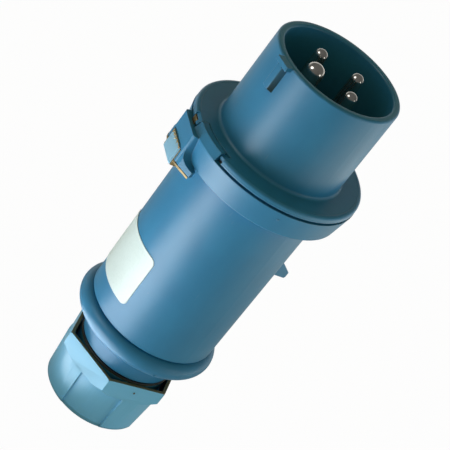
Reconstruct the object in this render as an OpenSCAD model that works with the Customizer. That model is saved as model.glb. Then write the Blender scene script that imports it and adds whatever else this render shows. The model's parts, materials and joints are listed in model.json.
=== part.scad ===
// Industrial pin and sleeve plug: three phase pins and a larger earth pin in a keyed sleeve,
// a two-part housing with a bayonet joint and a sliding lock, and an outside gland nut.
// The plug stands on its gland nut. +Z runs along the axis from the cable to the pins,
// and the sleeve's key points to -Y. All sizes are in millimetres.

/* [Sleeve and flange] */
// Outside diameter of the contact sleeve
sleeve_d = 49.5; // [48:0.1:51]
// Wall of the contact sleeve
sleeve_wall = 2.8; // [2:0.1:3.4]
// Length of the sleeve in front of the flange
sleeve_len = 36.8; // [32:0.1:42]
// Rounding of the sleeve's rim
rim_round = 0.9; // [0.3:0.1:0.9]
// Width of the housing's shoulder, from the sleeve out to the collar's front edge
shoulder_w = 9.3; // [8.4:0.1:12]
// How far the flange's rim stays inside the collar's
flange_inset = 0.1; // [0:0.05:0.5]
// How much the flange narrows from its rim to its front face, on the radius
flange_slope = 1.25; // [0.6:0.05:1.6]
// Thickness of the flange
flange_t = 2.3; // [2:0.1:4]
// Fillet between the sleeve and the flange
flange_fillet = 1.2; // [0.4:0.1:2]

/* [Key] */
// Width of the key's head, across the sleeve
key_head_w = 6.4; // [5.4:0.1:10]
// Length of the key's head, along the sleeve
key_head_len = 1.7; // [1:0.1:3]
// Setback of the key's head from the rim
key_setback = 0.1; // [0.1:0.1:2]
// Width of the rib behind the key's head, at its foot
key_rib_w = 4; // [3:0.1:5]
// Width of the rib's crest
key_crest_w = 1.3; // [0.8:0.1:2.4]
// Length of the rib behind the key's head
key_rib_len = 10.6; // [6:0.1:16]
// Height of the key above the sleeve
key_h = 2.4; // [1.2:0.1:3]

/* [Rear housing] */
// How much the collar narrows towards its rear edge, on the radius
collar_taper = 1.6; // [0.8:0.1:1.9]
// Wall of the collar at its rear edge
collar_wall = 2.05; // [1.8:0.05:2.6]
// Length of the collar
collar_len = 9.6; // [9:0.1:14]
// How far the barrel stands outside the sleeve, on the radius
barrel_step = 1.4; // [1.1:0.1:2.4]
// How much the barrel narrows towards its rear end, on the radius
barrel_draft = 0.55; // [0:0.05:1.2]
// Length of the barrel
barrel_len = 72.3; // [60:0.1:85]
// Wall of the barrel
barrel_wall = 2.3; // [1.8:0.1:2.6]
// How far the bead behind the barrel stands outside it
bead_rise = 2.6; // [1.5:0.1:4]
// Thickness of the bead's round section
bead_t = 7.8; // [6:0.1:9]
// Width of the groove between the barrel and the bead
groove_w = 0.6; // [0.4:0.1:1.2]
// How far the neck stands outside the gland thread
neck_step = 1.9; // [1.5:0.1:2.5]
// Length of the neck between the bead and the gland nut
neck_len = 11.5; // [8:0.1:16]
// Width of the gap at the seam between the flange and the collar
seam_w = 1; // [0.4:0.1:1.3]

/* [Collar tongue] */
// Direction of the tongue's middle, counted from +X
tongue_angle = -91.7; // [-93:0.1:-90]
// Angle that the tongue covers
tongue_span = 27; // [20:0.5:27]
// Angle of the gap that the flange leaves beside the tongue's end
tongue_gap = 4; // [0:0.5:6]

/* [Lock] */
// Direction of the lock, counted from +X
lock_angle = -108.5; // [-112:0.1:-108]
// Wall of the lock's boss on each side of its slot
boss_wall = 1.4; // [1:0.1:2.4]
// Height of the boss's flat top above the collar
boss_rise = 1.45; // [1.2:0.05:3]
// How far the boss reaches behind the collar
boss_overhang = 2.7; // [2:0.1:4]
// Length of the boss's roof over the bolt
roof_len = 7.3; // [5:0.1:9]
// How far each wing reaches beside the boss
wing_reach = 6.1; // [4.5:0.1:8]
// Length of the wings' tips, along the axis
wing_len = 2.2; // [1.6:0.1:5]
// Hollow fillet between each wing and the boss
wing_fillet = 4.5; // [2:0.1:6]
// Width of the lock's thumb pad
pad_w = 10.4; // [8:0.1:13]
// Length of the thumb pad
pad_len = 7.8; // [6:0.1:10]
// Height of the thumb pad above the boss
pad_rise = 0.5; // [0:0.1:2]
// Thickness of the bolt's sheet metal
bolt_t = 0.8; // [0.5:0.1:1]
// Width of the bolt's nose
nose_w = 3; // [2.4:0.1:5]
// Travel of the lock from locked to open
lock_travel = 3; // [2:0.1:4]

/* [Retaining lug] */
// Width of the lug that a socket's lid hooks over
lug_w = 24; // [14:0.5:28]
// Height of the lug's crest above the barrel
lug_h = 8.05; // [4:0.05:12]
// Distance from the collar's rear edge to the lug's crest
lug_setback = 36.7; // [25:0.1:45]
// Length of the lug's flat crest
lug_crest = 2.3; // [1:0.1:4]
// Length of the ramp in front of the crest
lug_ramp = 6.9; // [4:0.1:10]

/* [Pins] */
// Diameter of a phase pin
phase_d = 5; // [4.8:0.1:6]
// Diameter of the earth pin
earth_d = 7; // [6:0.1:8]
// Diameter of the circle that the pins stand on
pin_circle_d = 21.2; // [20.6:0.1:22]
// Distance of the phase pins' tips below the rim
phase_setback = 0.7; // [0.5:0.1:4]
// How much further the earth pin reaches than the phase pins
earth_lead = 1.6; // [0.5:0.1:3]
// Diameter of a phase pin's terminal barrel
phase_terminal_d = 8.4; // [8:0.1:8.8]
// Diameter of the earth pin's terminal barrel
earth_terminal_d = 9.8; // [9:0.1:10]
// Diameter of the hole that takes a wire
wire_hole_d = 3.8; // [3:0.1:4.2]
// Diameter of a terminal screw
screw_d = 3.9; // [3:0.1:4]

/* [Contact carrier] */
// Thickness of the carrier, from its front face to its rear face
carrier_t = 18.4; // [16.5:0.1:22]
// Distance between the two screws of a terminal
screw_pitch = 7.1; // [6.4:0.1:10]
// Thickness of the partition walls
partition_t = 2.4; // [1.6:0.1:3]
// Thickness of the plate that closes the terminal chambers
backplate_t = 2; // [1.5:0.1:3]

/* [Gland] */
// How far the nut reaches over the neck
nut_cover = 4.6; // [3.4:0.1:7]
// Wall of the nut's six-sided mouth
nut_wall = 1.3; // [1:0.1:2.4]
// Height of the hexagon at its corners
hex_h = 5.5; // [4:0.1:7]
// Direction of one of the hexagon's corners
hex_turn = 14; // [0:1:59]
// How far the nut's round part stands outside the flats
nut_round_step = 0.55; // [0.2:0.05:1]
// How much the round part narrows towards the nut's end, on the radius
nut_taper = 1.3; // [0.4:0.1:1.6]
// Depth of the finger recesses in the nut's round part
recess_depth = 1.1; // [0.6:0.1:1.3]
// Angle that one finger recess covers
recess_span = 51; // [30:1:54]
// Diameter of the opening in the nut's end
entry_d = 19; // [16:0.1:19.6]
// Thickness of the nut's end wall
nut_floor_t = 3; // [2:0.1:4]
// Height of the washer that closes the clamping cage
washer_h = 4.6; // [4:0.1:7]
// Wall of the housing under the gland thread
gland_wall = 2.9; // [2:0.1:4]
// Thickness of the rubber ring round the neck
neck_ring_t = 1.2; // [0.8:0.1:1.6]
// Length of the gland thread
thread_len = 12.4; // [10:0.1:14]
// Pitch of the gland thread
thread_pitch = 2; // [1:0.5:3]
// Inside diameter of the rubber seal, for the thickest cable
seal_bore_d = 15; // [12:0.1:16]
// Wall of the rubber seal
seal_wall = 4.2; // [3:0.1:4.6]
// Wall of the clamping cage
cage_wall = 2.2; // [1.6:0.1:2.4]
// Number of fingers on the clamping cage
finger_count = 10; // [6:1:12]

/* [Label] */
// Direction of the label's middle
label_angle = -108.5; // [-120:0.5:-95]
// Width of the label across the barrel
label_w = 29; // [20:0.5:34]
// Height of the label along the barrel
label_h = 22.7; // [14:0.1:30]
// Distance from the bead to the label
label_gap = 9.3; // [4:0.1:30]
// Thickness of the label
label_t = 0.2; // [0.1:0.05:0.4]

/* [Hidden] */
$fn = 96;
eps = 0.01;

// Clearances
fit = 0.1;              // between pieces that stay together
thread_fit = 0.05;      // between the gland thread and the nut
slide_fit = 0.3;        // round the sliding lock and between turning pieces
press_gap = 0.02;       // under the label
cone_gap = 0.45;        // between the cage's fingers and the washer's cone
stroke_gap = 0.5;       // at the housing's thread, before the washer and before the cage

// Heights along the axis, from the nut's end upwards
washer_z = nut_floor_t;
washer_top_z = washer_z + washer_h;
thread_end_z = washer_top_z + stroke_gap; // end of the housing, inside the nut
neck_end_z = thread_end_z + thread_len;  // neck's shoulder above the thread
neck_z = neck_end_z + nut_cover;         // neck leaves the nut
bead_z = neck_z + neck_len + bead_t / 2; // middle of the bead
bead_foot_z = bead_z - bead_t / 2;
barrel_z = bead_z + bead_t / 2 + groove_w;
collar_z = barrel_z + barrel_len;
seam_z = collar_z + collar_len;
flange_z = seam_z + seam_w;
face_z = flange_z + flange_t;            // flange's front face
rim_z = face_z + sleeve_len;

// Radii of the housing
sleeve_r = sleeve_d / 2;
bore_r = sleeve_r - sleeve_wall;
socket_r = bore_r + 0.5;                 // counterbore that takes the carrier
collar_r = sleeve_r + shoulder_w;        // collar at its front edge
collar_rear_r = collar_r - collar_taper;
collar_in_r = collar_rear_r - collar_wall;
flange_r = collar_r - flange_inset;      // flange at its rim
flange_front_r = flange_r - flange_slope;
flange_rim = 0.5;                        // upright edge of the flange
skirt_r = collar_in_r - 2 * fit;         // flange's skirt inside the collar
lug_r = skirt_r + 1.2;                   // bayonet lugs on the skirt
barrel_r = sleeve_r + barrel_step;       // barrel at the collar
barrel_rear_r = barrel_r - barrel_draft;
barrel_in_r = barrel_r - barrel_wall;
chamber_r = barrel_rear_r - barrel_wall - 0.4;
bead_out_r = barrel_rear_r + bead_rise;
bead_r = bead_out_r - bead_t / 2;        // middle of the bead's round section
bead_slope_h = 2.4;                      // slope between the bead and the neck
collar_floor = 2.5;                      // collar's rear wall
cavity_z = collar_z + collar_floor;
skirt_z = cavity_z + 0.4;
bayonet_lug_h = 2.3;
bayonet_lug_span = 20;
bayonet_angles = [45, 135, 225, 315];
bayonet_turn = 40;                       // turn from the entry slots to the locked place
key_z = rim_z - key_setback;
key_end_slope = 0.9;                     // how much the rib's crest is shorter than its foot

// Contact carrier and pins
carrier_stand = 0.3;                     // carrier's face above the flange
carrier_face_z = face_z + carrier_stand;
carrier_z = carrier_face_z - carrier_t;
carrier_r = socket_r - fit;
clamp_ring_r = barrel_in_r - slide_fit;  // ring held between the two housings
ledge_z = carrier_z - fit;
screw_head_r = screw_d / 2 + 0.9;
screw_edge = screw_head_r + 0.6;         // from a screw to the end of the partitions
partition_len = screw_pitch + 2 * screw_edge;
partition_z = carrier_z - partition_len;
shank_len = 8.5;
pin_seat_z = carrier_face_z - shank_len; // shoulder that the pin pulls against
shank_step = 0.4;                        // shank is thicker than the pin by this much
pin_r = pin_circle_d / 2;
pin_tip_share = 0.32;                    // rounding of a pin's tip, as a share of its diameter
phase_angles = [0, 90, 180];
earth_angle = -90;
screw_heights = [partition_z + screw_edge, partition_z + screw_edge + screw_pitch];
screw_head_t = 2;
screw_reach = earth_terminal_d / 2 + 1;  // from the pin's axis to the screw's head
plate_screw_r = 1.5;
plate_screw_len = 8;                     // length in the carrier's core
slot_cut_w = 0.8;                        // driver slot in the screws' heads
backplate_z = partition_z - backplate_t;

// Gland
seal_r = seal_bore_d / 2 + seal_wall;
cage_bore_r = seal_r + cage_wall + 2 * fit;
thread_r = cage_bore_r + gland_wall;
neck_r = thread_r + neck_step;
thread_lead = 0.3 * thread_pitch;         // broken edge at the thread's end
cage_stop_z = neck_end_z - stroke_gap;
throat_r = seal_bore_d / 2 + 3;
mouth_depth = 2.3;
nut_mouth_z = neck_end_z - mouth_depth;   // floor of the six-sided mouth
nut_h = neck_z;
mouth_gap = 0.55;                        // between the neck and the mouth's flats
nut_flat_r = neck_r + mouth_gap + nut_wall;
nut_r = nut_flat_r + nut_round_step;     // round part, under the hexagon
nut_end_r = nut_r - nut_taper;
hex_corner_r = nut_flat_r / cos(30);
hex_foot_z = nut_h - hex_h;
land_top_z = hex_foot_z - (hex_corner_r - nut_r);   // where the corners' undercut ends
recess_angles = [-47, 47, 180];
nut_edge = 0.8;
washer_r = thread_r - thread_fit - 0.35;
washer_in_r = entry_d / 2 + 0.5;
washer_floor_z = washer_z + 0.8;
cone_foot_r = seal_r + fit + 0.6;
cone_top_r = cage_bore_r + 0.9;
cage_z = washer_floor_z + 0.8;
cage_r = cage_bore_r - fit;
neck_ring_r = neck_r - 0.3 * neck_ring_t; // middle of the ring's round section
neck_ring_z = neck_z + fit;               // ring shows at the nut's mouth
ring_groove_r = neck_ring_r - neck_ring_t / 2 - fit / 2;
ring_groove_gap = 0.5;                    // open groove in front of the ring

// Lock, in a frame where +Y points outwards through the lock
boss_top = collar_r + boss_rise;
pad_top = boss_top + pad_rise;
bolt_depth = 2.6;
bolt_y = boss_top - bolt_depth;          // underside of the bolt
bolt_top = bolt_y + bolt_t;
bolt_w = pad_w + 1.2;
slot_w = bolt_w + 2 * slide_fit;
boss_w = slot_w + 2 * boss_wall;
nose_x = 1.6;                            // keeps the nose clear of the collar's tongue
nose_len = lock_travel - seam_w - 1;     // free of the flange 1 mm before the travel ends
nose_z = flange_z + nose_len;
boss_z = collar_z - boss_overhang;
roof_z = seam_z - roof_len;
pad_z = roof_z - 0.4 - pad_len;
cross_z = boss_z - 0.1 - bolt_t;
boss_foot = collar_in_r - 0.8;
boss_round = 1.3;                        // ridges of the boss
wing_crest_x = boss_w / 2 + 1.2;
wing_w = boss_w + 2 * wing_reach;
wing_tip_y = collar_rear_r - 1.25;
pad_edge = 0.5;
tray_edge_t = 0.5;

// Retaining lug
lug_crest_z = collar_z - lug_setback;
lug_top = barrel_r + lug_h;

// Turns children so that their +Y points outwards at an angle counted from +X
module facing(angle) rotate([0, 0, angle - 90]) children();

// A wedge round the axis, from one angle to another, less than 90 degrees apart
module wedge(middle, span, z0, z1, reach = 60)
    translate([0, 0, z0]) linear_extrude(height = z1 - z0) rotate(middle)
        polygon([[0, 0], reach * [cos(span / 2), -sin(span / 2)], [reach, 0],
                 reach * [cos(span / 2), sin(span / 2)]]);

// A ring with a square section
module ring(r_out, r_in, z0, z1)
    translate([0, 0, z0]) difference() {
        cylinder(r = r_out, h = z1 - z0);
        translate([0, 0, -1]) cylinder(r = r_in, h = z1 - z0 + 2);
    }

// ---- Front housing ----

module sleeve_profile() {
    // sleeve, with a round rim; its inner lip rests on the carrier's face
    translate([bore_r, carrier_face_z]) square([sleeve_wall, rim_z - rim_round - carrier_face_z]);
    translate([socket_r, face_z - eps]) square([sleeve_r - socket_r, carrier_stand + 2 * eps]);
    translate([bore_r + rim_round, rim_z - rim_round - eps])
        square([sleeve_wall - 2 * rim_round, rim_round + eps]);
    for (r = [bore_r + rim_round, sleeve_r - rim_round])
        translate([r, rim_z - rim_round]) circle(r = rim_round);
    // flange
    polygon([[socket_r, flange_z], [flange_r, flange_z], [flange_r, flange_z + flange_rim],
             [flange_front_r, face_z], [socket_r, face_z]]);
    // fillet at the sleeve's foot
    translate([sleeve_r - eps, face_z - eps]) difference() {
        square(flange_fillet);
        translate([flange_fillet, flange_fillet]) circle(r = flange_fillet);
    }
    // skirt inside the collar
    translate([socket_r, skirt_z]) square([skirt_r - socket_r, flange_z - skirt_z + eps]);
}

module key() {
    facing(-90) {
        translate([-key_head_w / 2, sleeve_r - 1, key_z - key_head_len])
            cube([key_head_w, key_h + 1, key_head_len]);
        // rib with sloping flanks and a sloping end
        intersection() {
            translate([0, 0, key_z - key_head_len - key_rib_len]) linear_extrude(height = key_rib_len + eps)
                polygon([[-key_rib_w / 2, sleeve_r - 1], [-key_rib_w / 2, sleeve_r - 0.1],
                         [-key_crest_w / 2, sleeve_r + key_h], [key_crest_w / 2, sleeve_r + key_h],
                         [key_rib_w / 2, sleeve_r - 0.1], [key_rib_w / 2, sleeve_r - 1]]);
            translate([-key_rib_w, 0, key_z - key_head_len - key_rib_len]) rotate([90, 0, 90])
                linear_extrude(height = 2 * key_rib_w)
                    polygon([[sleeve_r - 2, 0], [sleeve_r, 0], [sleeve_r + key_h, key_end_slope],
                             [sleeve_r + key_h + 1, key_end_slope], [sleeve_r + key_h + 1, key_rib_len + 1],
                             [sleeve_r - 2, key_rib_len + 1]]);
        }
    }
}

module sleeve_housing() {
    color([0.23, 0.48, 0.66]) difference() {
        union() {
            rotate_extrude() sleeve_profile();
            key();
            for (a = bayonet_angles) intersection() {
                ring(lug_r, skirt_r - 1, skirt_z, skirt_z + bayonet_lug_h);
                wedge(a, bayonet_lug_span, skirt_z - 1, flange_z);
            }
        }
        // gap in the flange for the collar's tongue
        intersection() {
            ring(2 * flange_r, skirt_r - 0.4, flange_z - eps, face_z + 1);
            wedge(tongue_angle + tongue_gap / 2, tongue_span + 1 + tongue_gap, flange_z - 1, face_z + 2);
        }
        // pocket for the bolt's nose
        facing(lock_angle) translate([nose_x - nose_w / 2 - slide_fit, bolt_y - slide_fit, flange_z - 1])
            cube([nose_w + 2 * slide_fit, 5, nose_len + slide_fit + 1]);
    }
}

module flange_gasket() {
    color([0.08, 0.08, 0.09]) difference() {
        ring(collar_rear_r - 0.4, skirt_r + fit, seam_z, flange_z);
        // break in the ring for the collar's tongue
        wedge(tongue_angle, tongue_span + 2, seam_z - 1, flange_z + 1);
    }
}

// ---- Rear housing ----

module rear_outline() {
    // collar
    polygon([[0, collar_z], [collar_rear_r - 0.6, collar_z], [collar_rear_r, collar_z + 0.6],
             [collar_r, seam_z], [0, seam_z]]);
    // barrel, with a slight draft and a broken rear edge
    polygon([[0, barrel_z], [barrel_rear_r - 0.4, barrel_z], [barrel_rear_r, barrel_z + 0.4],
             [barrel_r, collar_z + eps], [0, collar_z + eps]]);
    // bead and the groove above it
    translate([bead_r, bead_z]) circle(d = bead_t);
    translate([0, bead_z - bead_t / 4]) square([bead_r, bead_t * 3 / 4 + groove_w + eps]);
    // shoulder from the bead down to the neck
    polygon([[0, bead_z - bead_t / 4 + eps], [bead_r - 1, bead_z - bead_t / 4 + eps],
             [bead_r - 1, bead_foot_z + 0.2], [neck_r, bead_foot_z - bead_slope_h],
             [0, bead_foot_z - bead_slope_h]]);
    // neck and gland thread
    translate([0, neck_end_z]) square([neck_r, bead_z - neck_end_z]);
    polygon([[0, thread_end_z], [thread_r - thread_lead, thread_end_z],
             [thread_r, thread_end_z + thread_lead], [thread_r, neck_end_z + eps], [0, neck_end_z + eps]]);
}

module rear_hollow() {
    // bayonet cavity in the collar, with its groove
    translate([0, cavity_z]) square([collar_in_r, seam_z - cavity_z + 1]);
    translate([0, cavity_z]) square([lug_r + 0.3, bayonet_lug_h + 0.8]);
    // bore that takes the carrier's ring, and its ledge
    translate([0, ledge_z]) square([barrel_in_r, cavity_z - ledge_z + eps]);
    // wiring chamber, narrowing to the throat
    polygon([[0, ledge_z + eps], [chamber_r, ledge_z + eps], [chamber_r, barrel_z + 1],
             [throat_r, bead_foot_z], [0, bead_foot_z]]);
    translate([0, thread_end_z - 1]) square([throat_r, bead_foot_z - thread_end_z + 1 + eps]);
    // seat of the clamping cage
    translate([0, thread_end_z - 1]) square([cage_bore_r, cage_stop_z - thread_end_z + 1]);
}

module lock_boss() {
    facing(lock_angle) {
        // stem that carries the roof and the two rails, with round ridges
        translate([0, 0, boss_z]) linear_extrude(height = seam_z - boss_z) {
            translate([-boss_w / 2, boss_foot]) square([boss_w, boss_top - boss_round - boss_foot]);
            translate([-boss_w / 2 + boss_round, boss_foot])
                square([boss_w - 2 * boss_round, boss_top - boss_foot]);
            for (side = [-1, 1]) translate([side * (boss_w / 2 - boss_round), boss_top - boss_round])
                circle(r = boss_round);
        }
        // wings that slope down to the collar and sweep forwards into the boss
        for (side = [0, 1]) mirror([side, 0, 0]) intersection() {
            translate([0, 0, boss_z]) linear_extrude(height = wing_len + wing_fillet)
                polygon([[0, boss_foot], [0, boss_top - 0.5], [boss_w / 2 - 0.3, boss_top - 0.5],
                         [wing_crest_x, boss_top - 1], [wing_w / 2, wing_tip_y],
                         [wing_w / 2 - 1, boss_foot]]);
            translate([0, boss_top + 1, boss_z]) rotate([90, 0, 0])
                linear_extrude(height = boss_top - boss_foot + 2) wing_plan();
        }
    }
}

// Half of the wings, seen from outside the lock
module wing_plan() {
    square([wing_w / 2 + 1, wing_len]);
    difference() {
        square([boss_w / 2 + wing_fillet, wing_len + wing_fillet]);
        translate([boss_w / 2 + wing_fillet, wing_len + wing_fillet]) circle(r = wing_fillet);
    }
}

module lock_slot() {
    facing(lock_angle) {
        // open slot for the thumb pad
        translate([-slot_w / 2, bolt_y - slide_fit, boss_z - 1])
            cube([slot_w, 10, roof_z - boss_z + 1]);
        // channel for the bolt under the roof
        translate([nose_x - nose_w / 2 - slide_fit, bolt_y - slide_fit, boss_z - 1])
            cube([nose_w + 2 * slide_fit, bolt_t + 2 * slide_fit, seam_z - boss_z + 2]);
    }
}

module retaining_lug() {
    base_y = barrel_in_r - 3;
    facing(90) translate([lug_w / 2, 0, 0]) rotate([0, -90, 0]) linear_extrude(height = lug_w)
        polygon([[lug_crest_z + lug_ramp + 1, base_y], [lug_crest_z + lug_ramp, barrel_r],
                 [lug_crest_z + 0.6, lug_top - 0.1], [lug_crest_z, lug_top],
                 [lug_crest_z - lug_crest + 0.5, lug_top], [lug_crest_z - lug_crest, lug_top - 0.6],
                 [lug_crest_z - 0.6, barrel_r], [lug_crest_z - 0.6, base_y]]);
}

module collar_tongue() {
    intersection() {
        rotate_extrude() polygon([[skirt_r + fit, seam_z - 1], [collar_r - 0.1, seam_z - 1],
                                  [collar_r, seam_z], [flange_front_r + flange_inset, face_z],
                                  [skirt_r + fit, face_z]]);
        wedge(tongue_angle, tongue_span, seam_z - 2, face_z + 1);
    }
}

module rear_housing() {
    color([0.25, 0.5, 0.67]) difference() {
        union() {
            difference() {
                union() {
                    rotate_extrude() rear_outline();
                    lock_boss();
                    retaining_lug();
                }
                rotate_extrude() rear_hollow();
                // entry slots of the bayonet
                for (a = bayonet_angles) intersection() {
                    ring(lug_r + 0.3, skirt_r - 1, cavity_z, seam_z + 1);
                    wedge(a + bayonet_turn, bayonet_lug_span + 2, cavity_z - 1, seam_z + 2);
                }
            }
            collar_tongue();
        }
        lock_slot();
        // groove for the ring at the nut's mouth
        ring(neck_r + 1, ring_groove_r, neck_ring_z - (neck_ring_t + fit) / 2,
             neck_ring_z + neck_ring_t / 2 + ring_groove_gap);
    }
}

// ---- Contacts ----

module at_pin(angle) rotate([0, 0, angle]) translate([pin_r, 0, 0]) children();

module contact_carrier() {
    color([0.05, 0.09, 0.09]) difference() {
        union() {
            translate([0, 0, carrier_z]) cylinder(r = carrier_r, h = carrier_t);
            translate([0, 0, carrier_z]) cylinder(r = clamp_ring_r, h = skirt_z - fit - carrier_z);
            // partition walls between the terminals, round a core for the plate's screw
            for (a = [45, 135]) rotate([0, 0, a])
                translate([-carrier_r + 2, -partition_t / 2, partition_z])
                    cube([2 * carrier_r - 4, partition_t, partition_len + 1]);
            translate([0, 0, partition_z]) cylinder(r = plate_screw_r + 1.8, h = partition_len + 1);
        }
        for (a = phase_angles) at_pin(a) pin_hole(phase_d, phase_terminal_d);
        at_pin(earth_angle) pin_hole(earth_d, earth_terminal_d);
        translate([0, 0, partition_z - 1]) cylinder(r = plate_screw_r + thread_fit, h = plate_screw_len + 3);
    }
}

module pin_hole(d, terminal_d) {
    translate([0, 0, carrier_z - 1]) cylinder(r = d / 2 + shank_step + fit, h = carrier_t + 2);
    translate([0, 0, carrier_z - 1]) cylinder(r = terminal_d / 2 + fit, h = pin_seat_z - carrier_z + 1 + fit);
}

// A turned pin: round-ended contact, thicker shank and a terminal barrel with cross screws
module contact_pin(d, terminal_d, tip_z) {
    r = d / 2;
    tip_round = pin_tip_share * d;
    difference() {
        rotate_extrude() {
            translate([0, carrier_face_z - eps]) square([r, tip_z - tip_round - carrier_face_z + eps]);
            translate([0, carrier_face_z]) square([r - tip_round, tip_z - carrier_face_z]);
            translate([r - tip_round, tip_z - tip_round]) circle_quarter(tip_round);
            translate([0, pin_seat_z - eps]) square([r + shank_step, carrier_face_z - pin_seat_z + eps]);
            translate([0, partition_z + fit]) square([terminal_d / 2, pin_seat_z - partition_z - fit]);
        }
        translate([0, 0, partition_z - 1]) cylinder(d = wire_hole_d, h = partition_len + 1);
        for (z = screw_heights) translate([0, 0, z]) rotate([0, 90, 0])
            cylinder(d = screw_d + 2 * thread_fit, h = terminal_d);
    }
}

module circle_quarter(r) intersection() {
    circle(r = r);
    square(r);
}

module earth_pin() {
    color([0.8, 0.8, 0.78]) at_pin(earth_angle)
        contact_pin(earth_d, earth_terminal_d, rim_z - phase_setback + earth_lead);
}

module phase_pin(index) {
    color([0.8, 0.8, 0.78]) at_pin(phase_angles[index])
        contact_pin(phase_d, phase_terminal_d, rim_z - phase_setback);
}

// The two screws of one terminal, pointing at the pin's axis
module screw_pair() {
    for (z = screw_heights) translate([0, 0, z]) rotate([0, 90, 0]) difference() {
        union() {
            translate([0, 0, wire_hole_d / 4]) cylinder(d = screw_d, h = screw_reach - wire_hole_d / 4 + eps);
            translate([0, 0, screw_reach]) cylinder(r = screw_head_r, h = screw_head_t);
        }
        translate([-screw_head_r - 1, -slot_cut_w / 2, screw_reach + screw_head_t - slot_cut_w])
            cube([2 * screw_head_r + 2, slot_cut_w, 2]);
    }
}

module earth_terminal_screws() color([0.78, 0.74, 0.6]) at_pin(earth_angle) screw_pair();

module phase_terminal_screws() color([0.78, 0.78, 0.8]) for (a = phase_angles) at_pin(a) screw_pair();

module terminal_backplate() {
    color([0.1, 0.1, 0.11]) difference() {
        translate([0, 0, backplate_z]) cylinder(r = carrier_r - 2, h = backplate_t);
        for (a = concat(phase_angles, [earth_angle])) at_pin(a)
            translate([0, 0, backplate_z - 1]) cylinder(d = wire_hole_d + 1.4, h = backplate_t + 2);
        translate([0, 0, backplate_z - 1]) cylinder(r = plate_screw_r + fit, h = backplate_t + 2);
    }
}

module backplate_screw() {
    head_t = 1.8;
    color([0.78, 0.78, 0.8]) difference() {
        translate([0, 0, backplate_z - head_t]) union() {
            cylinder(r = plate_screw_r, h = head_t + backplate_t + plate_screw_len);
            cylinder(r = plate_screw_r + 1.3, h = head_t);
        }
        translate([-4, -slot_cut_w / 2, backplate_z - head_t - 1]) cube([8, slot_cut_w, 1.8]);
    }
}

// ---- Lock ----

module lock_bolt() {
    color([0.68, 0.6, 0.4]) facing(lock_angle) {
        // nose that runs under the roof into the flange
        translate([nose_x - nose_w / 2, bolt_y, pad_z]) cube([nose_w, bolt_t, nose_z - pad_z]);
        // tray under the pad, with two upturned edges
        translate([-bolt_w / 2, bolt_y, pad_z + 0.4]) cube([bolt_w, bolt_t, pad_len - 0.4]);
        for (x = [-bolt_w / 2, bolt_w / 2 - tray_edge_t]) translate([x, bolt_y, pad_z + 0.4])
            cube([tray_edge_t, bolt_depth - 0.1, pad_len - 0.8]);
        // cross bar behind the boss's wings
        translate([0, 0, cross_z]) linear_extrude(height = bolt_t) for (side = [0, 1]) mirror([side, 0])
            polygon([[0, bolt_y - 2], [wing_w / 2 - 1.2, bolt_y - 2], [wing_w / 2 - 0.1, wing_tip_y + 0.2],
                     [wing_crest_x, boss_top - 0.9], [boss_w / 2, boss_top - 0.3],
                     [bolt_w / 2 - 0.3, boss_top + 0.1], [bolt_w / 2 - 0.3, bolt_y + 0.1],
                     [0, bolt_y + 0.1]]);
    }
}

module lock_pad() {
    color([0.5, 0.68, 0.8]) facing(lock_angle) difference() {
        translate([0, 0, pad_z]) linear_extrude(height = pad_len)
            polygon([[-pad_w / 2, bolt_top], [-pad_w / 2, pad_top - pad_edge],
                     [-pad_w / 2 + pad_edge, pad_top], [pad_w / 2 - pad_edge, pad_top],
                     [pad_w / 2, pad_top - pad_edge], [pad_w / 2, bolt_top]]);
        // broken rear edge
        translate([-pad_w, pad_top, pad_z]) rotate([45, 0, 0])
            cube([4 * pad_w, pad_edge * sqrt(2), pad_edge * sqrt(2)], center = true);
    }
}

// ---- Gland ----

module nut_body() {
    difference() {
        union() {
            // hexagon, with its corners cut off underneath
            intersection() {
                rotate([0, 0, hex_turn]) cylinder(r = hex_corner_r, h = nut_h, $fn = 6);
                rotate_extrude() polygon([[0, land_top_z], [nut_r, land_top_z],
                                          [hex_corner_r, hex_foot_z], [hex_corner_r, nut_h - 0.5],
                                          [hex_corner_r - 0.5, nut_h], [0, nut_h]]);
            }
            // round part
            rotate_extrude() polygon([[0, 0], [nut_end_r - nut_edge, 0], [nut_end_r, nut_edge],
                                      [nut_r, land_top_z], [nut_r - 1, hex_foot_z],
                                      [0, hex_foot_z]]);
        }
        // finger recesses
        for (a = recess_angles) intersection() {
            difference() {
                translate([0, 0, -1]) cylinder(r = 2 * nut_r, h = land_top_z + 1.5);
                translate([0, 0, -2]) cylinder(r1 = nut_end_r - recess_depth,
                                               r2 = nut_r - recess_depth, h = land_top_z + 3);
            }
            wedge(a, recess_span, -2, nut_h);
        }
    }
}

module gland_nut() {
    color([0.38, 0.61, 0.74]) difference() {
        nut_body();
        // cable opening, washer seat, thread and six-sided mouth
        translate([0, 0, -1]) cylinder(d = entry_d, h = nut_h);
        translate([0, 0, nut_floor_t]) cylinder(r = washer_r + slide_fit, h = nut_h);
        translate([0, 0, thread_end_z - 1]) cylinder(r = thread_r + thread_fit, h = nut_h);
        translate([0, 0, nut_mouth_z]) rotate([0, 0, hex_turn])
            cylinder(r = hex_corner_r - nut_wall / cos(30), h = nut_h, $fn = 6);
    }
}

module gland_washer() {
    color([0.3, 0.32, 0.34]) rotate_extrude()
        polygon([[washer_in_r, washer_z], [washer_r, washer_z], [washer_r, washer_top_z],
                 [cone_top_r, washer_top_z], [cone_foot_r, washer_floor_z], [washer_in_r, washer_floor_z]]);
}

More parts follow.
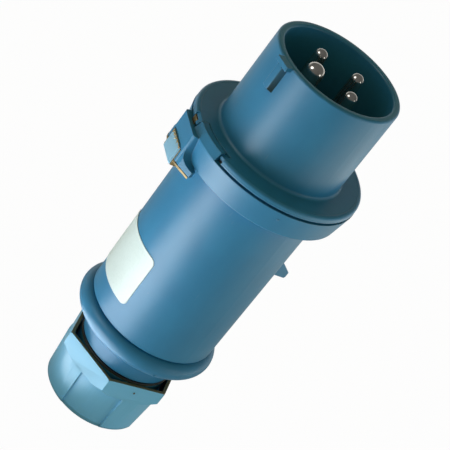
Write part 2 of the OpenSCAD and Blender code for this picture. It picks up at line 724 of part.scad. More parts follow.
module clamp_cage() {
    finger_gap = 1.6;
    // the fingers' tips follow the washer's cone
    cone_slope = (cone_top_r - cone_foot_r) / (washer_top_z - washer_floor_z);
    tip_r = cone_foot_r + cone_slope * (cage_z - washer_floor_z) - cone_gap;
    color([0.55, 0.57, 0.58]) difference() {
        rotate_extrude() polygon([[seal_r + fit, cage_z], [tip_r, cage_z],
                                  [cage_r, cage_z + (cage_r - tip_r) / cone_slope],
                                  [cage_r, cage_stop_z - fit], [seal_r + fit, cage_stop_z - fit]]);
        for (i = [0 : finger_count - 1]) rotate([0, 0, i * 360 / finger_count])
            translate([0, -finger_gap / 2, cage_z - 1])
                cube([cage_r + 2, finger_gap, thread_end_z + 4 - cage_z]);
    }
}

module gland_seal() color([0.1, 0.1, 0.1]) ring(seal_r, seal_bore_d / 2, cage_z + 0.2, cage_stop_z - fit);

module neck_ring() {
    color([0.12, 0.13, 0.09]) translate([0, 0, neck_ring_z])
        rotate_extrude() translate([neck_ring_r, 0]) circle(d = neck_ring_t);
}

// ---- Label ----

module label_plate() {
    corner = 2;
    z0 = barrel_z + label_gap;
    slope = barrel_draft / barrel_len;
    function skin_r(z) = barrel_rear_r + slope * (z - barrel_z - 0.4) + press_gap;
    color([0.93, 0.93, 0.94]) intersection() {
        rotate_extrude() polygon([[skin_r(z0), z0], [skin_r(z0) + label_t, z0],
                                  [skin_r(z0 + label_h) + label_t, z0 + label_h],
                                  [skin_r(z0 + label_h), z0 + label_h]]);
        facing(label_angle) translate([0, 0, z0 + label_h / 2]) rotate([-90, 0, 0])
            linear_extrude(height = sleeve_d) rounded_rect(label_w, label_h, corner);
    }
}

module rounded_rect(w, h, r) {
    square([w - 2 * r, h], center = true);
    square([w, h - 2 * r], center = true);
    for (x = [-1, 1], y = [-1, 1]) translate([x * (w / 2 - r), y * (h / 2 - r)]) circle(r = r);
}

sleeve_housing();
rear_housing();
flange_gasket();
contact_carrier();
terminal_backplate();
backplate_screw();
earth_pin();
phase_pin(0);  // phase_pin_1
phase_pin(1);  // phase_pin_2
phase_pin(2);  // phase_pin_3
earth_terminal_screws();
phase_terminal_screws();
lock_bolt();
lock_pad();
gland_nut();
gland_washer();
clamp_cage();
gland_seal();
neck_ring();
label_plate();
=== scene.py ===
"""Looks for the industrial pin and sleeve plug: finishes, fine pieces, studio and camera."""
import json
import math
import random

import bmesh
import bpy
from mathutils import Matrix, Vector


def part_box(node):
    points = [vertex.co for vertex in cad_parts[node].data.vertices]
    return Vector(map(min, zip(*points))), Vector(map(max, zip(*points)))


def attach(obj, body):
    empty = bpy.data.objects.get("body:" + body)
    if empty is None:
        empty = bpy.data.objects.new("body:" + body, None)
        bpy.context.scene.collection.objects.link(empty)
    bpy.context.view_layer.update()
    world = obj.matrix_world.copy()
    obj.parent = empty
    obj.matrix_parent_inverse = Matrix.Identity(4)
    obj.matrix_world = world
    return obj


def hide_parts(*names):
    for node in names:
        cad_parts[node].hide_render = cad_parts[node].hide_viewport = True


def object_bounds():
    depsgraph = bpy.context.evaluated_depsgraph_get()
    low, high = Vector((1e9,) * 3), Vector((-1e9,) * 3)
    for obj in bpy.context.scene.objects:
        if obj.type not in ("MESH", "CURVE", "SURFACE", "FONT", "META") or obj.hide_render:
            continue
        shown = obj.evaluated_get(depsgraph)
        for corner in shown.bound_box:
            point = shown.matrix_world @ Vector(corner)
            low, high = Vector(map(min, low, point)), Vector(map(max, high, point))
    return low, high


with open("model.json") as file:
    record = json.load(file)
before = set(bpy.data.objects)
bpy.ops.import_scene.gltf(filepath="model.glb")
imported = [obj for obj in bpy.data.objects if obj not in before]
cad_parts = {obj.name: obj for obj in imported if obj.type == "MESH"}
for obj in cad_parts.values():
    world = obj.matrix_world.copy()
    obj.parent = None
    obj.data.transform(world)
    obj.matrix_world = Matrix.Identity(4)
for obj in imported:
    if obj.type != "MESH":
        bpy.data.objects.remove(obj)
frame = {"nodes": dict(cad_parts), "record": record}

MM = 0.001
cad_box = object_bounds()
nodes = frame["nodes"]


# ---- Shader maths ----

class Wire:
    """An output socket, or a number, that Python's operators act on through Math nodes."""

    def __init__(self, paint, socket):
        self.paint = paint
        self.socket = socket

    def __add__(self, other):
        return self.paint.math("ADD", self, other)

    def __radd__(self, other):
        return self.paint.math("ADD", other, self)

    def __sub__(self, other):
        return self.paint.math("SUBTRACT", self, other)

    def __rsub__(self, other):
        return self.paint.math("SUBTRACT", other, self)

    def __mul__(self, other):
        return self.paint.math("MULTIPLY", self, other)

    def __rmul__(self, other):
        return self.paint.math("MULTIPLY", other, self)

    def __truediv__(self, other):
        return self.paint.math("DIVIDE", self, other)

    def __neg__(self):
        return self.paint.math("MULTIPLY", self, -1)


class Paint:
    """The node tree of a material, or of the world, built from Python expressions."""

    def __init__(self, name, holder=None):
        self.material = holder or bpy.data.materials.new(name)
        self.material.use_nodes = True
        self.tree = self.material.node_tree
        self.tree.nodes.clear()

    def node(self, kind, settings=None, inputs=None, output=0):
        """Adds a node: its settings first, then values or wires for its sockets, by name or number."""
        made = self.tree.nodes.new(kind)
        for key, value in (settings or {}).items():
            setattr(made, key, value)
        for key, value in (inputs or {}).items():
            self.feed(made.inputs[key], value)
        return Wire(self, made.outputs[output])

    def feed(self, socket, value):
        """Links a wire to a socket, or sets the socket's own value."""
        if isinstance(value, Wire):
            self.tree.links.new(value.socket, socket)
        elif hasattr(value, "__len__") and len(value) == 3 and len(socket.default_value) == 4:
            socket.default_value = (*value, 1.0)
        else:
            socket.default_value = value

    def math(self, operation, a, b=0.0, clamp=False):
        return self.node("ShaderNodeMath", {"operation": operation, "use_clamp": clamp}, {0: a, 1: b})

    def blend(self, a, b, factor):
        """Mixes two colours."""
        return self.node("ShaderNodeMix", {"data_type": "RGBA"}, {"Factor": factor, 6: a, 7: b}, output=2)

    def ray(self, kind):
        """1 on a ray of a kind, such as Is Camera Ray."""
        return self.node("ShaderNodeLightPath", output=kind)

    def place(self):
        """The point on the piece, in the row frame."""
        return self.node("ShaderNodeTexCoord", output="Object")

    def facing(self):
        """The surface's normal, in the piece's own frame."""
        return self.node("ShaderNodeTexCoord", output="Normal")

    def inward(self):
        """1 where the surface faces the plug's axis, as the inside of a bore does."""
        level = self.node("ShaderNodeVectorMath", {"operation": "MULTIPLY"},
                          {0: self.place(), 1: (1.0, 1.0, 0.0)})
        across = self.node("ShaderNodeVectorMath", {"operation": "NORMALIZE"}, {0: level})
        return self.band(-self.along(across, self.facing()), 0.15, 0.4)

    def axis(self, letter, place=None):
        """One coordinate of the point on the piece, or of another vector."""
        return self.node("ShaderNodeSeparateXYZ", inputs={0: place or self.place()}, output=letter)

    def noise(self, size_mm, detail=2.0, stretch=None):
        """Noise from 0 to 1 whose features are about size_mm across."""
        place = self.place()
        if stretch:
            place = self.node("ShaderNodeMapping", inputs={0: place, "Scale": stretch})
        return self.node("ShaderNodeTexNoise", {"noise_dimensions": "3D"},
                         {"Vector": place, "Scale": 1 / (size_mm * MM), "Detail": detail})

    def band(self, value, low, high):
        """0 below low, 1 above high, and smooth between."""
        return self.node("ShaderNodeMapRange", {"interpolation_type": "SMOOTHSTEP"},
                         {0: value, 1: low, 2: high, 3: 0.0, 4: 1.0})

    def soft_edge(self, radius_mm):
        """A normal that rounds the edges by a radius."""
        return self.node("ShaderNodeBevel", {"samples": 6}, {"Radius": radius_mm * MM})

    def along(self, a, b):
        """The dot product of two directions."""
        return self.node("ShaderNodeVectorMath", {"operation": "DOT_PRODUCT"}, {0: a, 1: b}, "Value")

    def edges(self, radius_mm):
        """How sharply the surface turns within a radius: 0 on a flat or smooth part."""
        hard = self.node("ShaderNodeNewGeometry", output="Normal")
        return self.math("SUBTRACT", 1.0, self.along(self.soft_edge(radius_mm), hard), clamp=True)

    def bump(self, height, depth_mm, strength, normal=None):
        """A normal that a height from 0 to 1 disturbs, on top of another normal."""
        inputs = {"Height": height, "Distance": depth_mm * MM, "Strength": strength}
        if normal is not None:
            inputs["Normal"] = normal
        return self.node("ShaderNodeBump", inputs=inputs)

    def finish(self, **sockets):
        """The surface: Principled BSDF sockets by name, with _ for a space."""
        shader = self.tree.nodes.new("ShaderNodeBsdfPrincipled")
        for key, value in sockets.items():
            self.feed(shader.inputs[key.replace("_", " ")], value)
        end = self.tree.nodes.new("ShaderNodeOutputMaterial")
        self.tree.links.new(shader.outputs[0], end.inputs[0])
        return self.material


# ---- Finishes ----

def moulded_tone(p, colour, deep, edge_wear_and_highlight=0.2):
    """Cloudy colour with flow marks, a few fine scuffs, and edges paled partly as rubbed wear and partly
    as a painted highlight line.
    """
    cloud = p.noise(19, 3)
    flow = p.noise(6, 3, (1, 1, 0.28))
    edge = p.edges(0.5)
    scuff = p.band(p.noise(1.3, 4, (1, 1, 0.2)), 0.66, 0.74) * p.band(p.noise(14, 2), 0.5, 0.62)
    tone = p.blend(deep, colour, p.band(cloud * 0.6 + flow * 0.4, 0.3, 0.7))
    # Edges are paled partly as rubbed wear and partly as a painted highlight line; the scuffs are real
    # wear.
    pale = tuple(0.55 * c + 0.25 for c in colour)
    tone = p.blend(tone, pale, p.band(edge, 0.02, 0.3) * edge_wear_and_highlight + scuff * 0.1)
    return tone, cloud, edge, scuff


def moulded_surface(p, tone, cloud, edge, scuff, grain_mm, rough, edge_mm=0.35, depth_mm=0.012):
    """Satin surface with spark-eroded grain over slow waves."""
    rough_here = rough + (p.noise(9, 2) - 0.5) * 0.06 + scuff * 0.08 - edge * 0.1
    normal = p.bump(p.noise(grain_mm, 2), depth_mm, 0.55, p.soft_edge(edge_mm))
    normal = p.bump(cloud, 0.25, 0.25, normal)
    return p.finish(Base_Color=tone, Roughness=rough_here, IOR=1.5, Specular_IOR_Level=0.45, Normal=normal)


def moulded_plastic(name, colour, deep, grain_mm=0.22, rough=0.42, depth_mm=0.012):
    """Plain moulded plastic."""
    p = Paint(name)
    return moulded_surface(p, *moulded_tone(p, colour, deep), grain_mm, rough, depth_mm=depth_mm)


def nut_plastic(name, colour, deep):
    """Pale moulded plastic, with painted brown shade on the upward faces of the mouth's rim and painted
    dark shade inside its bore.
    """
    p = Paint(name)
    tone, cloud, edge, scuff = moulded_tone(p, colour, deep)
    height = p.axis("Z") / MM
    up = p.band(p.axis("Z", p.facing()), 0.45, 0.8)
    # Painted shade: the upward faces at the mouth's rim are browned, standing in for the shade under the
    # bead.
    rim = p.band(height, NUT_RIM_Z - 0.9, NUT_RIM_Z - 0.5) * up
    # Painted shade: faces inside the bore that face the axis are darkened, fading out below about 2 to 6
    # mm up.
    tone = p.blend(tone, BORE_SHADE, p.inward() * p.band(height, 2.0, 6.0))
    tone = p.blend(tone, RIM_SHADE_BROWN, rim)
    return moulded_surface(p, tone, cloud, edge, scuff, 0.25, 0.34, 0.3)


def key_plastic(name, colour, deep):
    """Housing plastic, with painted shade on the rib's +X flank, deepest towards its lower end, and a
    painted highlight on its -X flank and edges.
    """
    p = Paint(name)
    # The edges are paled strongly here, as a painted highlight line along the crest.
    tone, cloud, edge, scuff = moulded_tone(p, colour, deep, 0.75)
    side = p.axis("X", p.facing())
    # Painted shade on the rib's +X flank, strongest towards its lower end.
    low = 1 - p.band(p.axis("Z") / MM, KEY_SHADE_Z, KEY_SHADE_Z + 9)
    tone = p.blend(tone, KEY_FLANK_SHADE, p.band(side, 0.35, 0.8) * (0.55 + low * 0.45))
    # Painted highlight: the rib's -X flank is made paler.
    tone = p.blend(tone, KEY_FLANK_HIGHLIGHT, p.band(-side, 0.3, 0.8) * 0.7)
    return moulded_surface(p, tone, cloud, edge, scuff, 0.22, 0.42, 0.3)


def ring_rubber(name):
    """Dark rubber, worn olive on the side that faces the nut's mouth."""
    p = Paint(name)
    dust = p.band(p.noise(0.9, 3), 0.4, 0.8)
    olive = 1 - p.band(p.axis("Z") / MM, RING_Z - 0.15, RING_Z + 0.2)
    tone = p.blend((0.008, 0.012, 0.01), (0.07, 0.075, 0.03), olive * (0.7 + dust * 0.3))
    return p.finish(Base_Color=tone, Roughness=0.5 + dust * 0.2, Normal=p.bump(dust, 0.02, 0.4))


def plated_metal(name, colour, shade, rough=0.16, film_mm=3.2, turned=True):
    """Plated metal with fine turning marks or a slight brushed grain, and a breath of tarnish."""
    p = Paint(name)
    film = p.noise(film_mm, 3)
    marks = p.noise(0.35, 2, (0.15, 0.15, 6) if turned else (4, 4, 0.4))
    tone = p.blend(colour, shade, p.band(film, 0.42, 0.75))
    normal = p.bump(marks, 0.006, 0.35, p.soft_edge(0.2))
    return p.finish(Base_Color=tone, Metallic=1.0, Roughness=rough + film * 0.1, Normal=normal)


def rubber(name, colour):
    """Dark rubber with grey dust."""
    p = Paint(name)
    dust = p.band(p.noise(2.1, 4), 0.5, 0.8)
    tone = p.blend(colour, (0.09, 0.09, 0.085), dust * 0.5)
    normal = p.bump(p.noise(0.3, 3), 0.02, 0.5)
    return p.finish(Base_Color=tone, Roughness=0.62 + dust * 0.2, Normal=normal)


def label_film(name):
    """A blank white film, with a faint sheen and slightly greyed edges."""
    p = Paint(name)
    fibre = p.noise(0.8, 4)
    edge = p.band(p.edges(0.6), 0.02, 0.4)
    tone = p.blend(LABEL, LABEL_GREYED, p.band(fibre, 0.35, 0.8) * 0.5 + edge * 0.3)
    normal = p.bump(p.noise(5, 2), 0.05, 0.4)
    return p.finish(Base_Color=tone, Roughness=0.38 + fibre * 0.12, Normal=normal)


HOUSING = (0.022, 0.19, 0.385)
HOUSING_DEEP = (0.018, 0.165, 0.345)
NUT = (0.15, 0.47, 0.76)
NUT_DEEP = (0.135, 0.44, 0.72)
LABEL = (0.56, 0.69, 0.73)
LABEL_GREYED = (0.49, 0.62, 0.66)
BORE_SHADE = (0.012, 0.018, 0.012)
RIM_SHADE_BROWN = (0.14, 0.125, 0.055)
KEY_FLANK_SHADE = (0.008, 0.03, 0.03)
KEY_FLANK_HIGHLIGHT = (0.13, 0.36, 0.50)
NUT_RIM_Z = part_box("gland_nut")[1].z / MM
RING_Z = sum(corner.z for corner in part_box("neck_ring")) / 2 / MM
KEY_SHADE_Z = 154.0

finishes = {
    "housing": moulded_plastic("blue_housing_plastic", HOUSING, HOUSING_DEEP, 0.5, 0.4, 0.045),
    "gland_nut": nut_plastic("pale_blue_nut_plastic", NUT, NUT_DEEP),
    "lock_pad": moulded_plastic("pale_blue_pad_plastic", (0.2, 0.42, 0.62), (0.18, 0.4, 0.59)),
    # Near-black green: the carrier's black plastic, darkened further as painted shade of the sleeve's deep
    # inside.
    "carrier": moulded_plastic("dark_carrier_plastic", (0.012, 0.02, 0.018), (0.008, 0.014, 0.013),
                               rough=0.5),
    "inner_grey": moulded_plastic("grey_gland_plastic", (0.2, 0.21, 0.22), (0.17, 0.18, 0.19)),
    "nickel": plated_metal("bright_nickel", (0.72, 0.69, 0.62), (0.5, 0.48, 0.43)),
    "screw_steel": plated_metal("zinc_screw_steel", (0.6, 0.61, 0.63), (0.45, 0.46, 0.47), 0.3),
    "bolt_steel": plated_metal("passivated_bolt_steel", (0.36, 0.29, 0.16), (0.14, 0.12, 0.08),
                               0.5, 0.55, turned=False),
    "rubber": rubber("black_rubber", (0.02, 0.02, 0.02)),
    "label": label_film("blank_label_film"),
}

# The finish of a single piece, by its name, which goes before the finish of its slot.
own_finish = {
    "neck_ring": ring_rubber("worn_ring_rubber"),
    "key_rib": key_plastic("blue_key_plastic", HOUSING, HOUSING_DEEP),
    "lock_bolt_teeth": plated_metal("worn_lip_steel", (0.85, 0.70, 0.42), (0.10, 0.08, 0.05),
                                    0.22, 0.4, turned=False),
    "nut_gate_mark": moulded_plastic("brown_gate_mark", (0.07, 0.05, 0.03), (0.05, 0.04, 0.03)),
}

slot_of = {part["node"]: part["material_slot"] for part in frame["record"]["subparts"]}
for name, piece in nodes.items():
    piece.data.materials.clear()
    piece.data.materials.append(own_finish.get(name) or finishes[slot_of[name]])


# ---- Fine pieces ----

MERGE = 0.002 * MM
POLE_MERGE = 0.01 * MM
FLAT = math.radians(0.4)
CRISP = math.radians(31)
DOME_SHARE = 0.86
DOME_RINGS = 8
KEY_ANGLE = -90
LOCK_ANGLE = -108.5
SLEEVE_R = 24.75 * MM
RIM_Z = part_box("sleeve_housing")[1].z
FLANGE_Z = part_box("flange_gasket")[1].z
FLANGE_THICK = 2.3 * MM
FACE_Z = FLANGE_Z + FLANGE_THICK
CARRIER_FACE_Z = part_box("contact_carrier")[1].z


def piece_from(mesh, name):
    """An object at the origin that holds a finished mesh."""
    data = bpy.data.meshes.new(name)
    mesh.to_mesh(data)
    mesh.free()
    made = bpy.data.objects.new(name, data)
    bpy.context.scene.collection.objects.link(made)
    return made


def finished(mesh, name, body, slot, replaced=None):
    """Closes a piece: its faces point outwards, its curves are smooth and its edges crisp."""
    bmesh.ops.recalc_face_normals(mesh, faces=mesh.faces)
    piece = piece_from(mesh, name)
    piece.data.shade_smooth()
    piece.data.set_sharp_from_angle(angle=CRISP)
    piece.data.materials.append(own_finish.get(name) or finishes[slot])
    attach(piece, body)
    if replaced:
        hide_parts(replaced)
    return piece


def merged_copy(node):
    """A node's mesh with its loose triangles joined and its flat faces whole."""
    mesh = bmesh.new()
    mesh.from_mesh(nodes[node].data)
    bmesh.ops.remove_doubles(mesh, verts=mesh.verts, dist=MERGE)
    bmesh.ops.dissolve_limit(mesh, angle_limit=FLAT, verts=mesh.verts, edges=mesh.edges)
    return mesh


def round_edges(mesh, radius_mm, least_angle, segments=3):
    """Rounds the edges where faces meet at more than an angle."""
    least = math.radians(least_angle)
    sharp = [edge for edge in mesh.edges if edge.is_manifold and edge.calc_face_angle() > least]
    bmesh.ops.bevel(mesh, geom=sharp, offset=radius_mm * MM, affect="EDGES", segments=segments,
                    profile=0.5, material=-1, clamp_overlap=True)


def turn_to(mesh, angle):
    """Turns a mesh so that its +Y points outwards at an angle counted from +X."""
    turn = Matrix.Rotation(math.radians(angle - 90), 3, "Z")
    bmesh.ops.rotate(mesh, verts=mesh.verts, cent=(0, 0, 0), matrix=turn)


def box_facing(node, angle):
    """A node's lowest and highest corners, in a frame whose +Y points outwards at an angle."""
    turn = Matrix.Rotation(math.radians(90 - angle), 4, "Z")
    points = [turn @ vertex.co for vertex in nodes[node].data.vertices]
    return [Vector([pick(point[i] for point in points) for i in range(3)]) for pick in (min, max)]


def prism(corners, low, high):
    """An upright solid over a flat outline of (x, y) corners."""
    mesh = bmesh.new()
    foot = mesh.faces.new([mesh.verts.new((x, y, low)) for x, y in corners])
    made = bmesh.ops.extrude_face_region(mesh, geom=[foot])["geom"]
    raised = [item for item in made if isinstance(item, bmesh.types.BMVert)]
    bmesh.ops.translate(mesh, vec=(0, 0, high - low), verts=raised)
    return mesh


def domed_pin(node, radius_mm):
    """A turned pin, whose end is drawn up ring by ring into a dome."""
    low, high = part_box(node)
    axis = (low + high) / 2
    dome = radius_mm * DOME_SHARE * MM
    mesh = merged_copy(node)
    bmesh.ops.bisect_plane(mesh, geom=mesh.verts[:] + mesh.edges[:] + mesh.faces[:],
                           plane_co=(0, 0, high.z - dome), plane_no=(0, 0, 1), clear_outer=True)
    rim = [edge for edge in mesh.edges if edge.is_boundary]
    for ring in range(DOME_RINGS):
        before = ring / DOME_RINGS * math.pi / 2
        after = (ring + 1) / DOME_RINGS * math.pi / 2
        made = bmesh.ops.extrude_edge_only(mesh, edges=rim)["geom"]
        points = [item for item in made if isinstance(item, bmesh.types.BMVert)]
        rim = [item for item in made if isinstance(item, bmesh.types.BMEdge) and item.is_boundary]
        shrink = max(math.cos(after), 0.0) / math.cos(before)
        bmesh.ops.scale(mesh, vec=(shrink, shrink, 1), space=Matrix.Translation(-axis), verts=points)
        bmesh.ops.translate(mesh, vec=(0, 0, dome * (math.sin(after) - math.sin(before))), verts=points)
    bmesh.ops.remove_doubles(mesh, verts=points, dist=POLE_MERGE)
    return finished(mesh, node + "_domed", "plug_body", "nickel", node)


def spun(outline, centre):
    """Turns a closed outline of (radius, height) points round an upright axis."""
    mesh = bmesh.new()
    points = [mesh.verts.new((radius, 0, height)) for radius, height in outline]
    edges = [mesh.edges.new(pair) for pair in zip(points, points[1:] + points[:1])]
    bmesh.ops.spin(mesh, geom=points + edges, cent=(0, 0, 0), axis=(0, 0, 1), angle=2 * math.pi,
                   steps=48, use_merge=True)
    bmesh.ops.remove_doubles(mesh, verts=mesh.verts, dist=MERGE)
    bmesh.ops.translate(mesh, vec=centre, verts=mesh.verts)
    return mesh


def pin_collar(node, radius_mm):
    """The low moulded collar round a pin's foot."""
    low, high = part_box(node)
    inner, outer = (radius_mm + 0.15) * MM, (radius_mm + 1.35) * MM
    step, fall = 0.25 * MM, 0.6 * MM
    outline = [(inner, -step), (inner, fall), (outer - step, fall), (outer, fall - step), (outer, -step)]
    centre = Vector(((low.x + high.x) / 2, (low.y + high.y) / 2, CARRIER_FACE_Z))
    return finished(spun(outline, centre), node + "_collar", "plug_body", "carrier")


def key_rib():
    """The key's rib: steep flanks, a round crest and a sloping lower end."""
    foot, crest, tall, soft = 2.04 * MM, 1.5 * MM, 2.42 * MM, 0.5 * MM
    top, length, slope = RIM_Z - 1.75 * MM, 10.65 * MM, 0.9 * MM
    sunk = SLEEVE_R - 0.4 * MM
    mesh = prism([(-foot, sunk), (foot, sunk), (crest, SLEEVE_R + tall), (-crest, SLEEVE_R + tall)],
                 top - length, top)
    for point in mesh.verts:
        if point.co.y > SLEEVE_R and point.co.z < top - slope:
            point.co.z += slope
    edges = [edge for edge in mesh.edges if all(v.co.y > SLEEVE_R for v in edge.verts)]
    bmesh.ops.bevel(mesh, geom=edges, offset=soft, affect="EDGES", segments=4, profile=0.5, material=-1)
    turn_to(mesh, KEY_ANGLE)
    return finished(mesh, "key_rib", "plug_body", "housing")


def tongue_step():
    """The low step in the flange's gap, beside the tongue's end."""
    start, end = (math.radians(angle) for angle in (-78.0, -73.9))
    inner, outer, tall = 29.7 * MM, 32.4 * MM, 1.5 * MM
    corners = [(radius * math.cos(angle), radius * math.sin(angle))
               for radius, angle in ((inner, start), (outer, start), (outer, end), (inner, end))]
    mesh = prism(corners, FLANGE_Z, FLANGE_Z + tall)
    round_edges(mesh, 0.2, 40, 2)
    return finished(mesh, "tongue_step", "plug_body", "housing")


def flange_band():
    """The flange's side and its round front edge, with room for the tongue and the bolt's nose."""
    foot, face = FLANGE_Z + 0.05 * MM, FACE_Z + 0.03 * MM
    inner, side, edge = 32.2 * MM, 33.92 * MM, 1.1 * MM
    outline = [(inner, foot), (side, foot)]
    for turn in (0, 22.5, 45, 67.5, 90):
        across, up = math.cos(math.radians(turn)), math.sin(math.radians(turn))
        outline.append((side - edge * (1 - across), face - edge * (1 - up)))
    outline.append((inner, face))
    start, end = -73.6, 245.6
    mesh = bmesh.new()
    section = mesh.faces.new([mesh.verts.new((radius, 0, height)) for radius, height in outline])
    first = Matrix.Rotation(math.radians(start), 3, "Z")
    bmesh.ops.rotate(mesh, verts=mesh.verts, cent=(0, 0, 0), matrix=first)
    bmesh.ops.spin(mesh, geom=[section] + section.edges[:] + section.verts[:], cent=(0, 0, 0),
                   axis=(0, 0, 1), angle=math.radians(end - start), steps=150, use_merge=False)
    return finished(mesh, "flange_band", "plug_body", "housing")


def bolt_teeth():
    """The bolt's crimped front lip, with ragged teeth over the pad's front edge."""
    low, high = box_facing("lock_pad", LOCK_ANGLE)
    width, depth, thick = high.x - low.x - 0.5 * MM, 1.0 * MM, 0.3 * MM
    mesh = bmesh.new()
    bmesh.ops.create_grid(mesh, x_segments=22, y_segments=1, size=0.5)
    bmesh.ops.scale(mesh, vec=(width, depth, 1), verts=mesh.verts)
    draw = random.Random(5)
    for point in mesh.verts:
        point.co.y += draw.uniform(-0.35, 0.6) * MM if point.co.y > 0 else draw.uniform(-0.08, 0.08) * MM
        point.co.z += draw.uniform(-0.12, 0.12) * MM
    made = bmesh.ops.extrude_face_region(mesh, geom=mesh.faces[:])["geom"]
    raised = [item for item in made if isinstance(item, bmesh.types.BMVert)]
    bmesh.ops.translate(mesh, vec=(0, 0, thick), verts=raised)
    bmesh.ops.rotate(mesh, verts=mesh.verts, cent=(0, 0, 0), matrix=Matrix.Rotation(-math.pi / 2, 3, "X"))
    middle = Vector(((low.x + high.x) / 2, high.y - 0.32 * MM, high.z - 0.3 * MM))
    bmesh.ops.translate(mesh, vec=middle, verts=mesh.verts)
    turn_to(mesh, LOCK_ANGLE)
    return finished(mesh, "lock_bolt_teeth", "lock_slide", "bolt_steel")


def pip(name, angle, radius_mm, z_mm, size_mm, body, slot):
    """A small mark that the mould's gate or an ejector leaves."""
    mesh = bmesh.new()
    bmesh.ops.create_icosphere(mesh, subdivisions=2, radius=size_mm * MM)
    bmesh.ops.scale(mesh, vec=(1, 0.35, 1.2), verts=mesh.verts)
    bmesh.ops.translate(mesh, vec=(0, radius_mm * MM, z_mm * MM), verts=mesh.verts)
    turn_to(mesh, angle)
    return finished(mesh, name, body, slot)


def softened(node, name, body, slot, radius_mm, least_angle):
    """A moulded piece whose edges are round."""
    mesh = merged_copy(node)
    round_edges(mesh, radius_mm, least_angle)
    return finished(mesh, name, body, slot, node)


PIN_RADII = {"earth_pin": 3.5, "phase_pin_1": 2.5, "phase_pin_2": 2.5, "phase_pin_3": 2.5}
for pin, pin_radius in PIN_RADII.items():
    domed_pin(pin, pin_radius)
    pin_collar(pin, pin_radius)
key_rib()
tongue_step()
flange_band()
bolt_teeth()
softened("lock_pad", "thumb_pad", "lock_slide", "lock_pad", 0.4, 30)
softened("gland_nut", "moulded_nut", "gland_nut", "gland_nut", 0.35, 26)
pip("collar_pip", -27.8, 33.55, 123.8, 0.45, "plug_body", "housing")
pip("bead_pip", -22.0, 28.0, 38.9, 0.5, "plug_body", "housing")
pip("nut_gate_mark", -15.0, 20.9, 22.0, 0.4, "gland_nut", "gland_nut")


# ---- Studio ----

MIDDLE = Vector((0, 0, (cad_box[0].z + cad_box[1].z) / 2))
FLOOR_REACH = 6.0
FLOOR_GAP = 0.0002
FLOOR_WHITE = 0.975
LAMP_HEIGHT = 0.003
LAMP_DISTANCE = 0.8
SIDE_LEVEL = 0.50
TOP_LEVEL = 0.30
TOP_WARMTH = (1.0, 0.90, 0.45)
FILL_WIDTH = 1.4
FILL_LEVEL = 0.25
UPWARD = Matrix.Rotation(math.pi, 4, "X")

CAMERA_AZIMUTH = -52.498
CAMERA_ELEVATION = 30.166
CAMERA_ROLL = 37.806
CAMERA_DISTANCE = 706.4 * MM
CAMERA_AIM = Vector((0.99, 0.72, 92.13)) * MM
CAMERA_LENS = 159.43
SENSOR_WIDTH = 36.0


def towards(azimuth, elevation):
    """A direction, by its angle from +X and its angle above the floor."""
    a, e = math.radians(azimuth), math.radians(elevation)
    return Vector((math.cos(a) * math.cos(e), math.sin(a) * math.cos(e), math.sin(e)))


def area_lamp(name, shape, width, height, watts, colour=(1, 1, 1)):
    """An area lamp, not yet in its place."""
    lamp = bpy.data.lights.new(name, "AREA")
    lamp.shape = shape
    lamp.size = width
    lamp.size_y = height
    lamp.energy = watts
    lamp.color = colour
    box = bpy.data.objects.new(name, lamp)
    bpy.context.scene.collection.objects.link(box)
    return box


def soft_box(name, azimuth, elevation, width, height, watts):
    """A studio box that faces the plug's middle."""
    box = area_lamp(name, "RECTANGLE", width, height, watts)
    way = towards(azimuth, elevation)
    turn = way.to_track_quat("Z", "Y").to_matrix().to_4x4()
    box.matrix_world = Matrix.Translation(MIDDLE + way * LAMP_DISTANCE) @ turn
    return box


def floor_lamp(name, azimuth, near, far, width, watts, colour=(1, 1, 1)):
    """A low strip light that faces up beside the plug, and gives its upright walls their long streaks."""
    box = area_lamp(name, "RECTANGLE", far - near, width, watts, colour)
    box.visible_camera = False
    middle = Matrix.Translation(((near + far) / 2, 0, LAMP_HEIGHT))
    box.matrix_world = Matrix.Rotation(math.radians(azimuth), 4, "Z") @ middle @ UPWARD
    return box


def floor_fill():
    """The light that a broad white floor throws up at the plug, without a mirror image of its own."""
    area = math.pi * FILL_WIDTH ** 2 / 4
    disk = area_lamp("floor_fill", "DISK", FILL_WIDTH, FILL_WIDTH, FILL_LEVEL * math.pi * area)
    disk.visible_camera = False
    disk.visible_glossy = False
    disk.matrix_world = Matrix.Translation((0, 0, LAMP_HEIGHT / 2)) @ UPWARD


def white_floor(ahead):
    """A pale floor: white to the camera, and in gloss dim before the plug and white behind it."""
    mesh = bmesh.new()
    bmesh.ops.create_circle(mesh, cap_ends=True, segments=96, radius=FLOOR_REACH)
    floor = piece_from(mesh, "floor")
    floor.data.transform(Matrix.Translation((0, 0, cad_box[0].z - FLOOR_GAP)))
    p = Paint("white_floor")
    show = p.math("MAXIMUM", p.ray("Is Glossy Ray"), p.ray("Is Transmission Ray"))
    behind = p.band(p.along(p.place(), ahead), 0.0, 0.5)
    plain = p.node("ShaderNodeBsdfDiffuse", inputs={"Color": (0.8, 0.8, 0.8)})
    glow = p.node("ShaderNodeEmission", inputs={"Color": (1, 1, 1), "Strength": 1.0})
    share = p.math("MAXIMUM", p.ray("Is Camera Ray") * FLOOR_WHITE, show * (behind * 0.8 + 0.07))
    mixed = p.node("ShaderNodeMixShader", inputs={0: share, 1: plain, 2: glow})
    end = p.tree.nodes.new("ShaderNodeOutputMaterial")
    p.tree.links.new(mixed.socket, end.inputs[0])
    floor.data.materials.append(p.material)


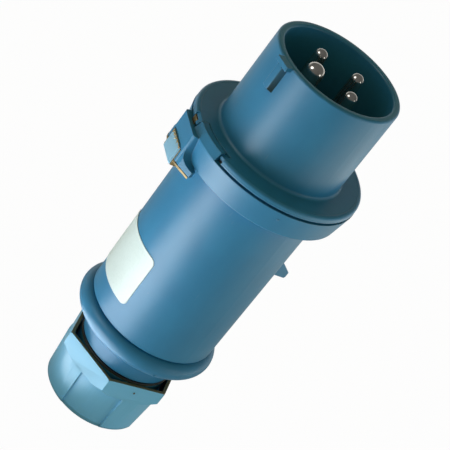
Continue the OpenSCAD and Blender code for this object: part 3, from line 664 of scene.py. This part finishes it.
def studio_world(ahead):
    """White behind the plug, dim in gloss before it, and softer, warmer light from above."""
    world = bpy.data.worlds.new("studio")
    bpy.context.scene.world = world
    p = Paint("studio", world)
    way = p.node("ShaderNodeTexCoord", output="Generated")
    up = p.axis("Z", way)
    behind = p.band(p.along(way, ahead), 0.05, 0.5) * (1 - p.band(up, 0.10, 0.42)) * 0.88 + 0.12
    around = SIDE_LEVEL - p.band(up, 0.1, 0.75) * (SIDE_LEVEL - TOP_LEVEL)
    seen = p.ray("Is Camera Ray")
    show = p.math("MAXIMUM", p.ray("Is Glossy Ray"), p.ray("Is Transmission Ray"))
    level = show * behind + (1 - show) * around
    level = seen + (1 - seen) * level
    plain = p.math("MAXIMUM", seen, show)
    warm = p.blend((1, 1, 1), TOP_WARMTH, p.band(up, 0.05, 0.45) * (1 - plain))
    light = p.node("ShaderNodeBackground", inputs={"Color": warm, "Strength": level})
    end = p.tree.nodes.new("ShaderNodeOutputWorld")
    p.tree.links.new(light.socket, end.inputs[0])


def camera():
    """Looks down on the standing plug from the key's side, rolled so that the plug leans to the right."""
    data = bpy.data.cameras.new("camera")
    data.sensor_width = SENSOR_WIDTH
    data.lens = CAMERA_LENS
    data.clip_start = 0.05
    data.clip_end = 30.0
    made = bpy.data.objects.new("camera", data)
    bpy.context.scene.collection.objects.link(made)
    back = towards(CAMERA_AZIMUTH, CAMERA_ELEVATION)
    level = back.to_track_quat("Z", "Y").to_matrix().to_4x4()
    turn = level @ Matrix.Rotation(math.radians(CAMERA_ROLL), 4, "Z")
    made.matrix_world = Matrix.Translation(CAMERA_AIM + back * CAMERA_DISTANCE) @ turn
    bpy.context.scene.camera = made
    return -back


ahead = camera()
white_floor(ahead)
studio_world(ahead)
floor_lamp("streak_light", -88, 0.08, 0.56, 0.10, 1.05)
floor_lamp("right_light", 44, 0.17, 0.72, 0.42, 0.84, (1.0, 0.96, 0.84))
for name, side, watts in (("left_fill", -138, 0.35), ("right_fill", 46, 1.25)):
    soft_box(name, side, 5, 0.4, 0.3, watts).visible_glossy = False
floor_lamp("nut_light", -92, 0.026, 0.10, 0.07, 0.10).visible_diffuse = False
soft_box("left_spark", -118, 42, 0.26, 0.26, 1.1).visible_diffuse = False
soft_box("right_spark", 26, 16, 0.16, 0.16, 0.36).visible_diffuse = False
floor_fill()
bpy.context.scene.view_settings.view_transform = "Standard"
